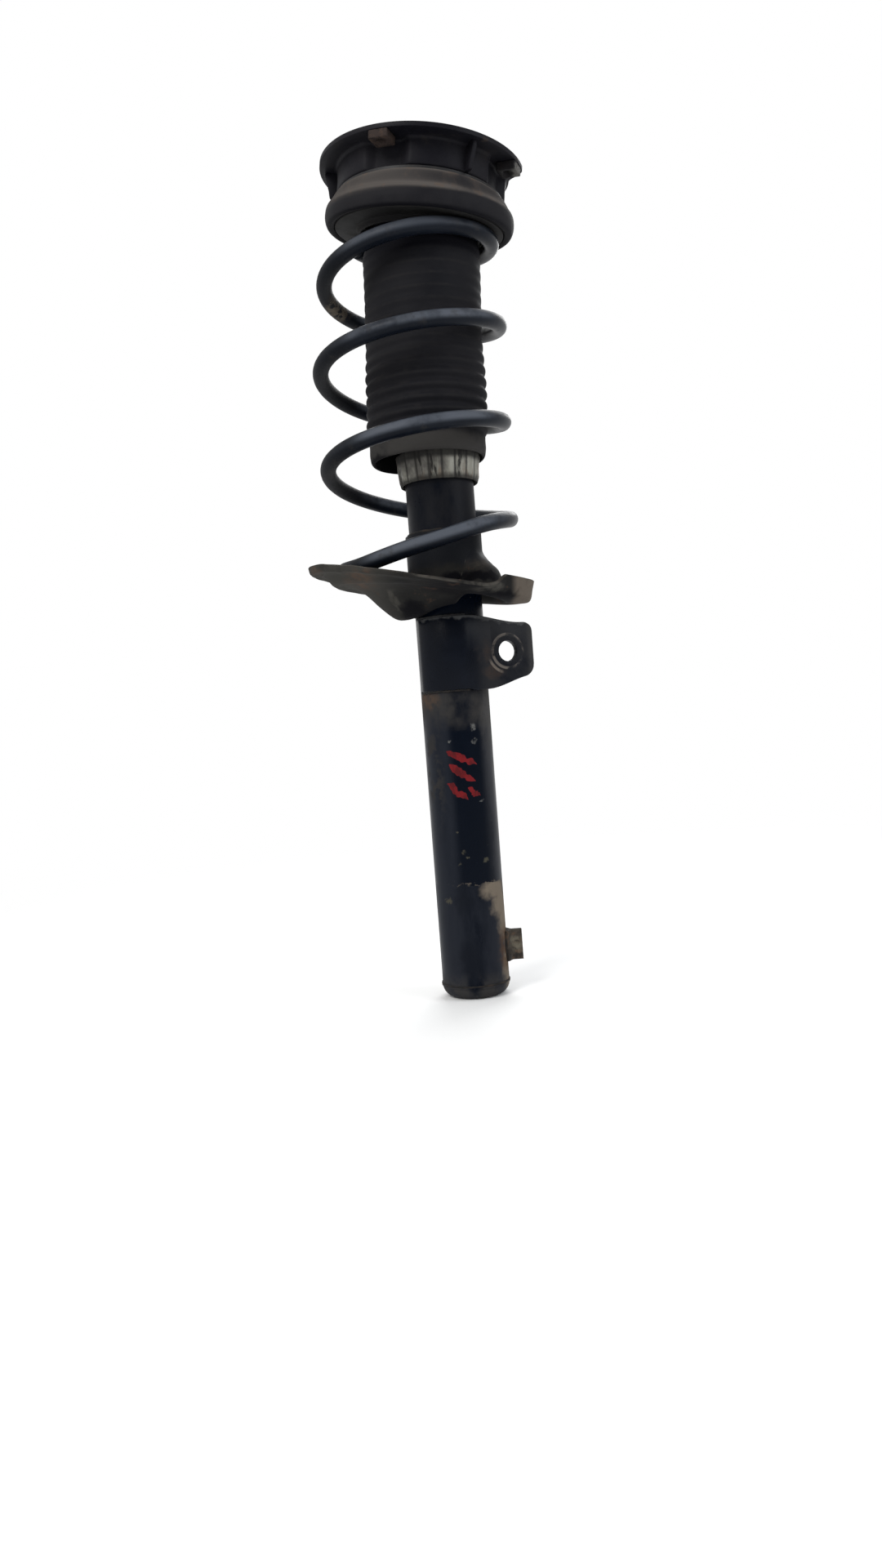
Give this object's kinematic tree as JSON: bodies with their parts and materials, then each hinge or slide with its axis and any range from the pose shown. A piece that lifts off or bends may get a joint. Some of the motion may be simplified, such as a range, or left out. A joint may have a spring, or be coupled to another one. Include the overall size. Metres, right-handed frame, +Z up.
{
  "type": "front suspension strut",
  "caption": "Coil-over damper strut with an offset spring seat, side-load coil spring, dust boot, ball bearing and rubber top mount, with a link bracket on the tube.",
  "frame": {"origin": "middle of the damper tube's closed foot, where the knuckle's clamp holds the tube", "axes": "+Z up the damper tube to the top mount; the link bracket's ear and the locating tab point towards +X"},
  "size_m": [0.1753, 0.1682, 0.61],
  "materials": {
    "black_paint": "satin black paint, worn and dusty",
    "dusty_paint": "black paint under road dust and light rust",
    "rusty_steel": "bare steel with a coat of brown rust",
    "zinc_cap": "yellowish zinc plate",
    "steel": "oiled machined steel",
    "hard_chrome": "ground hard chrome",
    "bronze": "sintered bronze",
    "black_rubber": "matt black rubber",
    "bump_foam": "cellular polyurethane",
    "black_plastic": "moulded black plastic"
  },
  "bodies": {
    "strut_body": {"strut_tube": "black_paint", "tube_end_cap": "black_paint", "pressure_cylinder": "steel", "base_valve_body": "steel", "base_valve_disc": "steel", "base_valve_rivet": "steel", "rod_guide": "steel", "guide_bush": "bronze", "rod_seal": "black_rubber", "gland_washer": "steel", "bump_cap": "zinc_cap", "lower_spring_seat": "dusty_paint", "link_bracket": "black_paint", "locating_tab": "rusty_steel", "coil_spring": "black_paint"},
    "spring_top": {"upper_spring_plate": "black_paint", "spring_isolator": "black_rubber", "bearing_lower_race": "steel", "bearing_cage": "black_plastic", "dust_boot": "black_rubber"},
    "strut_mount": {"mount_shell": "black_paint", "mount_flange": "black_paint", "mount_rubber": "black_rubber", "weld_nut_1": "rusty_steel", "weld_nut_2": "rusty_steel", "weld_nut_3": "rusty_steel", "bearing_cover": "black_plastic"},
    "damper_rod": {"piston_rod": "hard_chrome", "piston": "steel", "piston_band": "black_plastic", "piston_nut": "steel", "compression_valve_disc": "steel", "rebound_valve_disc": "steel", "rebound_stop": "black_plastic", "bump_stop": "bump_foam", "stop_washer": "steel", "mount_core": "steel", "rebound_washer": "steel", "rod_nut": "steel"}
  },
  "joints": [
    {"name": "damper_stroke", "type": "slide", "parent": "strut_body", "child": "spring_top", "axis": [0, 0, -1], "range_m": [0, 0.1], "stiffness_N_per_m": 25000, "springref_m": -0.03, "deforming": ["coil_spring", "dust_boot"]},
    {"name": "bearing_turn", "type": "hinge", "parent": "spring_top", "child": "strut_mount", "pos_m": [0, 0, 0.568], "axis": [0.1219, 0, 0.9925], "continuous": true},
    {"name": "rod_turn", "type": "hinge", "parent": "spring_top", "child": "damper_rod", "pos_m": [0, 0, 0.568], "axis": [0, 0, 1], "continuous": true}
  ],
  "couplings": [
    {"joint": "rod_turn", "follows": "bearing_turn", "ratio": 1}
  ]
}
